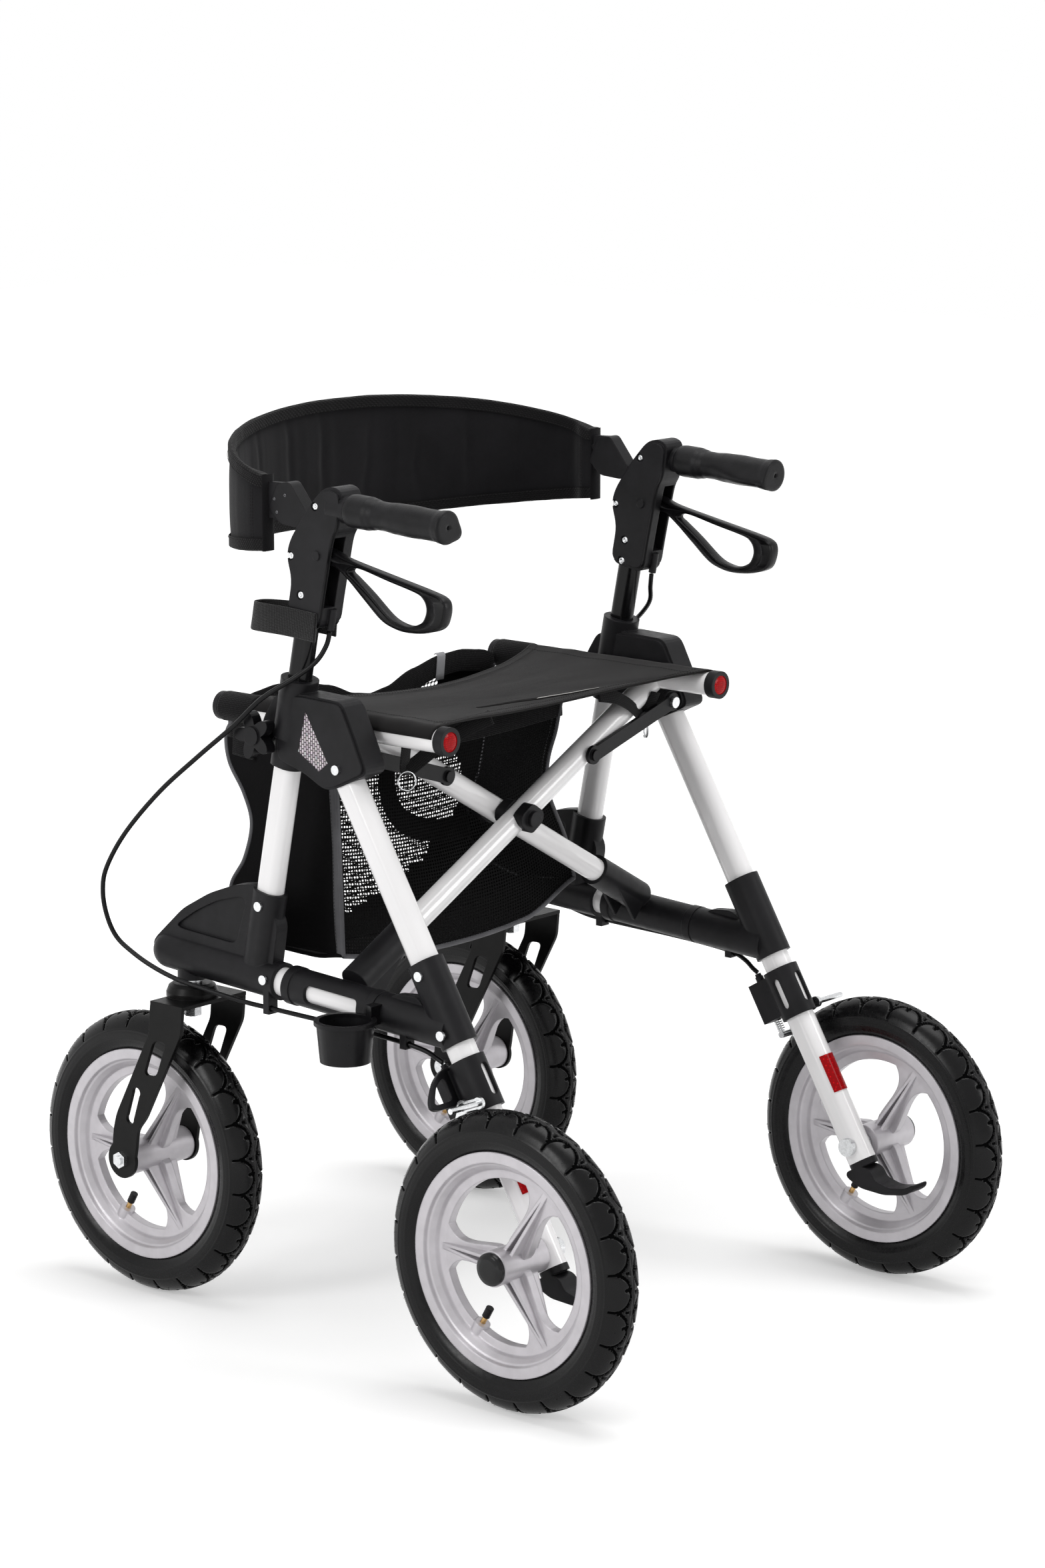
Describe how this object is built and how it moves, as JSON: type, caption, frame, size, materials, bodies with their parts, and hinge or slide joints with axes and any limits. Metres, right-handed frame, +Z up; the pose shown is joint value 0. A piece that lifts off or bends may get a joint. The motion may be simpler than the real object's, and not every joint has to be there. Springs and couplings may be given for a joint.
{
  "type": "all terrain rollator",
  "caption": "Folding rollator walker with spoked pneumatic wheels, front casters, sling seat, basket, backrest band, height-adjustable handles and loop brakes.",
  "frame": {"origin": "on the floor, midway between the side frames and between the rear and front axles", "axes": "+X to the user's right, +Y forward, +Z up"},
  "size_m": [0.676, 0.843, 0.922],
  "materials": {
    "white_tube": "white gloss powder coat",
    "black_tube": "black satin anodised",
    "black_plastic": "fine textured moulding",
    "black_steel": "black powder coat",
    "silver_wheel": "satin silver paint",
    "tyre": "matt rubber with moulded tread",
    "zinc": "bright zinc plate",
    "cable_jacket": "smooth satin jacket",
    "grip_rubber": "soft matt rubber",
    "black_cloth": "woven nylon",
    "basket_cloth": "woven nylon and mesh"
  },
  "bodies": {
    "left_frame": {"left_upright": "white_tube", "left_rear_leg": "white_tube", "left_lower_rail": "white_tube", "left_top_bracket": "black_plastic", "left_front_gusset": "black_plastic", "left_rear_tee": "black_plastic", "left_brake_housing": "black_plastic", "left_tip_pedal": "black_plastic", "left_frame_fasteners": "zinc", "left_brake_cable": "cable_jacket", "left_brake_spring": "zinc", "cane_cup": "black_plastic"},
    "left_caster": {"left_caster_fork": "black_steel", "left_caster_bolts": "zinc"},
    "left_front_wheel": {"left_front_rim": "silver_wheel", "left_front_tyre": "tyre"},
    "left_rear_wheel": {"left_rear_rim": "silver_wheel", "left_rear_tyre": "tyre", "left_hub_cap": "black_plastic"},
    "left_handle": {"left_handle_tube": "black_tube", "left_handle_housing": "black_plastic", "left_grip": "grip_rubber", "left_back_arm": "black_plastic", "backrest_band": "black_cloth"},
    "left_lever": {"left_brake_lever": "black_plastic"},
    "left_brake": {"left_brake_arm": "zinc"},
    "left_knob": {"left_clamp_knob": "black_plastic"},
    "left_link": {"left_lock_link": "black_steel"},
    "right_frame": {"right_upright": "white_tube", "right_rear_leg": "white_tube", "right_lower_rail": "white_tube", "right_top_bracket": "black_plastic", "right_front_gusset": "black_plastic", "right_rear_tee": "black_plastic", "right_brake_housing": "black_plastic", "right_tip_pedal": "black_plastic", "right_frame_fasteners": "zinc", "right_brake_cable": "cable_jacket", "right_brake_spring": "zinc"},
    "right_caster": {"right_caster_fork": "black_steel", "right_caster_bolts": "zinc"},
    "right_front_wheel": {"right_front_rim": "silver_wheel", "right_front_tyre": "tyre"},
    "right_rear_wheel": {"right_rear_rim": "silver_wheel", "right_rear_tyre": "tyre", "right_hub_cap": "black_plastic"},
    "right_handle": {"right_handle_tube": "black_tube", "right_handle_housing": "black_plastic", "right_grip": "grip_rubber", "right_back_arm": "black_plastic"},
    "right_lever": {"right_brake_lever": "black_plastic"},
    "right_brake": {"right_brake_arm": "zinc"},
    "right_knob": {"right_clamp_knob": "black_plastic"},
    "right_link": {"right_lock_link": "black_steel"},
    "rear_cross": {"rear_cross_tube": "white_tube", "rear_cross_fittings": "black_plastic", "seat_sling": "black_cloth"},
    "front_cross": {"front_cross_tube": "white_tube", "front_cross_fittings": "black_plastic"},
    "basket": {"basket": "basket_cloth"}
  },
  "joints": [
    {"name": "fold", "type": "hinge", "parent": "left_frame", "child": "rear_cross", "pos_m": [-0.251, -0.01, 0.358], "axis": [0, -0.9985, -0.0555], "range_deg": [0, 32], "deforming": ["seat_sling", "basket", "backrest_band"]},
    {"name": "scissor", "type": "hinge", "parent": "rear_cross", "child": "front_cross", "pos_m": [0, -0.01842, 0.50947], "axis": [0, 0.9985, 0.0555], "range_deg": [0, 69.7]},
    {"name": "right_fold", "type": "hinge", "parent": "front_cross", "child": "right_frame", "pos_m": [0.251, -0.01, 0.358], "axis": [0, -0.9985, -0.0555], "range_deg": [0, 32.1]},
    {"name": "left_link_turn", "type": "hinge", "parent": "left_frame", "child": "left_link", "pos_m": [-0.223, -0.00709, 0.60304], "axis": [0, -0.9985, -0.0555], "range_deg": [0, 80.2]},
    {"name": "right_link_turn", "type": "hinge", "parent": "right_frame", "child": "right_link", "pos_m": [0.223, -0.04004, 0.60121], "axis": [0, 0.9985, 0.0555], "range_deg": [0, 80.2]},
    {"name": "basket_swing", "type": "hinge", "parent": "rear_cross", "child": "basket", "pos_m": [0.213, 0.174, 0.629], "axis": [0, 1, 0], "range_deg": [0, 32.1]},
    {"name": "left_caster_swivel", "type": "hinge", "parent": "left_frame", "child": "left_caster", "pos_m": [-0.251, 0.2115, 0.345], "axis": [0, 0, 1], "continuous": true},
    {"name": "left_front_wheel_spin", "type": "hinge", "parent": "left_caster", "child": "left_front_wheel", "pos_m": [-0.251, 0.2715, 0.15], "axis": [1, 0, 0], "continuous": true},
    {"name": "left_rear_wheel_spin", "type": "hinge", "parent": "left_frame", "child": "left_rear_wheel", "pos_m": [-0.2985, -0.2715, 0.15], "axis": [1, 0, 0], "continuous": true},
    {"name": "left_handle_height", "type": "slide", "parent": "left_frame", "child": "left_handle", "axis": [0, -0.1925, 0.9813], "range_m": [-0.045, 0.1], "deforming": ["left_brake_cable"]},
    {"name": "left_lever_squeeze", "type": "hinge", "parent": "left_handle", "child": "left_lever", "pos_m": [-0.256, 0.01346, 0.8078], "axis": [-1, 0, 0], "range_deg": [0, 10], "stiffness_Nm_per_rad": 1.5, "springref_deg": -28.65},
    {"name": "left_brake_turn", "type": "hinge", "parent": "left_frame", "child": "left_brake", "pos_m": [-0.251, -0.1811, 0.28239], "axis": [1, 0, 0], "range_deg": [0, 7.5], "deforming": ["left_brake_spring", "left_brake_cable"]},
    {"name": "left_knob_turn", "type": "hinge", "parent": "left_frame", "child": "left_knob", "pos_m": [-0.251, 0.09005, 0.62006], "axis": [1, 0, 0], "range_deg": [0, 360]},
    {"name": "right_caster_swivel", "type": "hinge", "parent": "right_frame", "child": "right_caster", "pos_m": [0.251, 0.2115, 0.345], "axis": [0, 0, 1], "continuous": true},
    {"name": "right_front_wheel_spin", "type": "hinge", "parent": "right_caster", "child": "right_front_wheel", "pos_m": [0.251, 0.2715, 0.15], "axis": [1, 0, 0], "continuous": true},
    {"name": "right_rear_wheel_spin", "type": "hinge", "parent": "right_frame", "child": "right_rear_wheel", "pos_m": [0.2985, -0.2715, 0.15], "axis": [1, 0, 0], "continuous": true},
    {"name": "right_handle_height", "type": "slide", "parent": "right_frame", "child": "right_handle", "axis": [0, -0.1925, 0.9813], "range_m": [-0.045, 0.1], "deforming": ["right_brake_cable"]},
    {"name": "right_lever_squeeze", "type": "hinge", "parent": "right_handle", "child": "right_lever", "pos_m": [0.256, 0.01346, 0.8078], "axis": [-1, 0, 0], "range_deg": [0, 10], "stiffness_Nm_per_rad": 1.5, "springref_deg": -28.65},
    {"name": "right_brake_turn", "type": "hinge", "parent": "right_frame", "child": "right_brake", "pos_m": [0.251, -0.1811, 0.28239], "axis": [1, 0, 0], "range_deg": [0, 7.5], "deforming": ["right_brake_spring", "right_brake_cable"]},
    {"name": "right_knob_turn", "type": "hinge", "parent": "right_frame", "child": "right_knob", "pos_m": [0.251, 0.09005, 0.62006], "axis": [1, 0, 0], "range_deg": [0, 360]}
  ],
  "couplings": [
    {"joint": "scissor", "follows": "fold", "ratio": 2.1739},
    {"joint": "right_fold", "follows": "fold", "ratio": 1},
    {"joint": "left_link_turn", "follows": "fold", "ratio": 2.5012},
    {"joint": "right_link_turn", "follows": "fold", "ratio": 2.5012},
    {"joint": "basket_swing", "follows": "fold", "ratio": 1},
    {"joint": "right_handle_height", "follows": "left_handle_height", "ratio": 1},
    {"joint": "left_brake_turn", "follows": "left_lever_squeeze", "ratio": 0.75},
    {"joint": "right_brake_turn", "follows": "right_lever_squeeze", "ratio": 0.75}
  ]
}
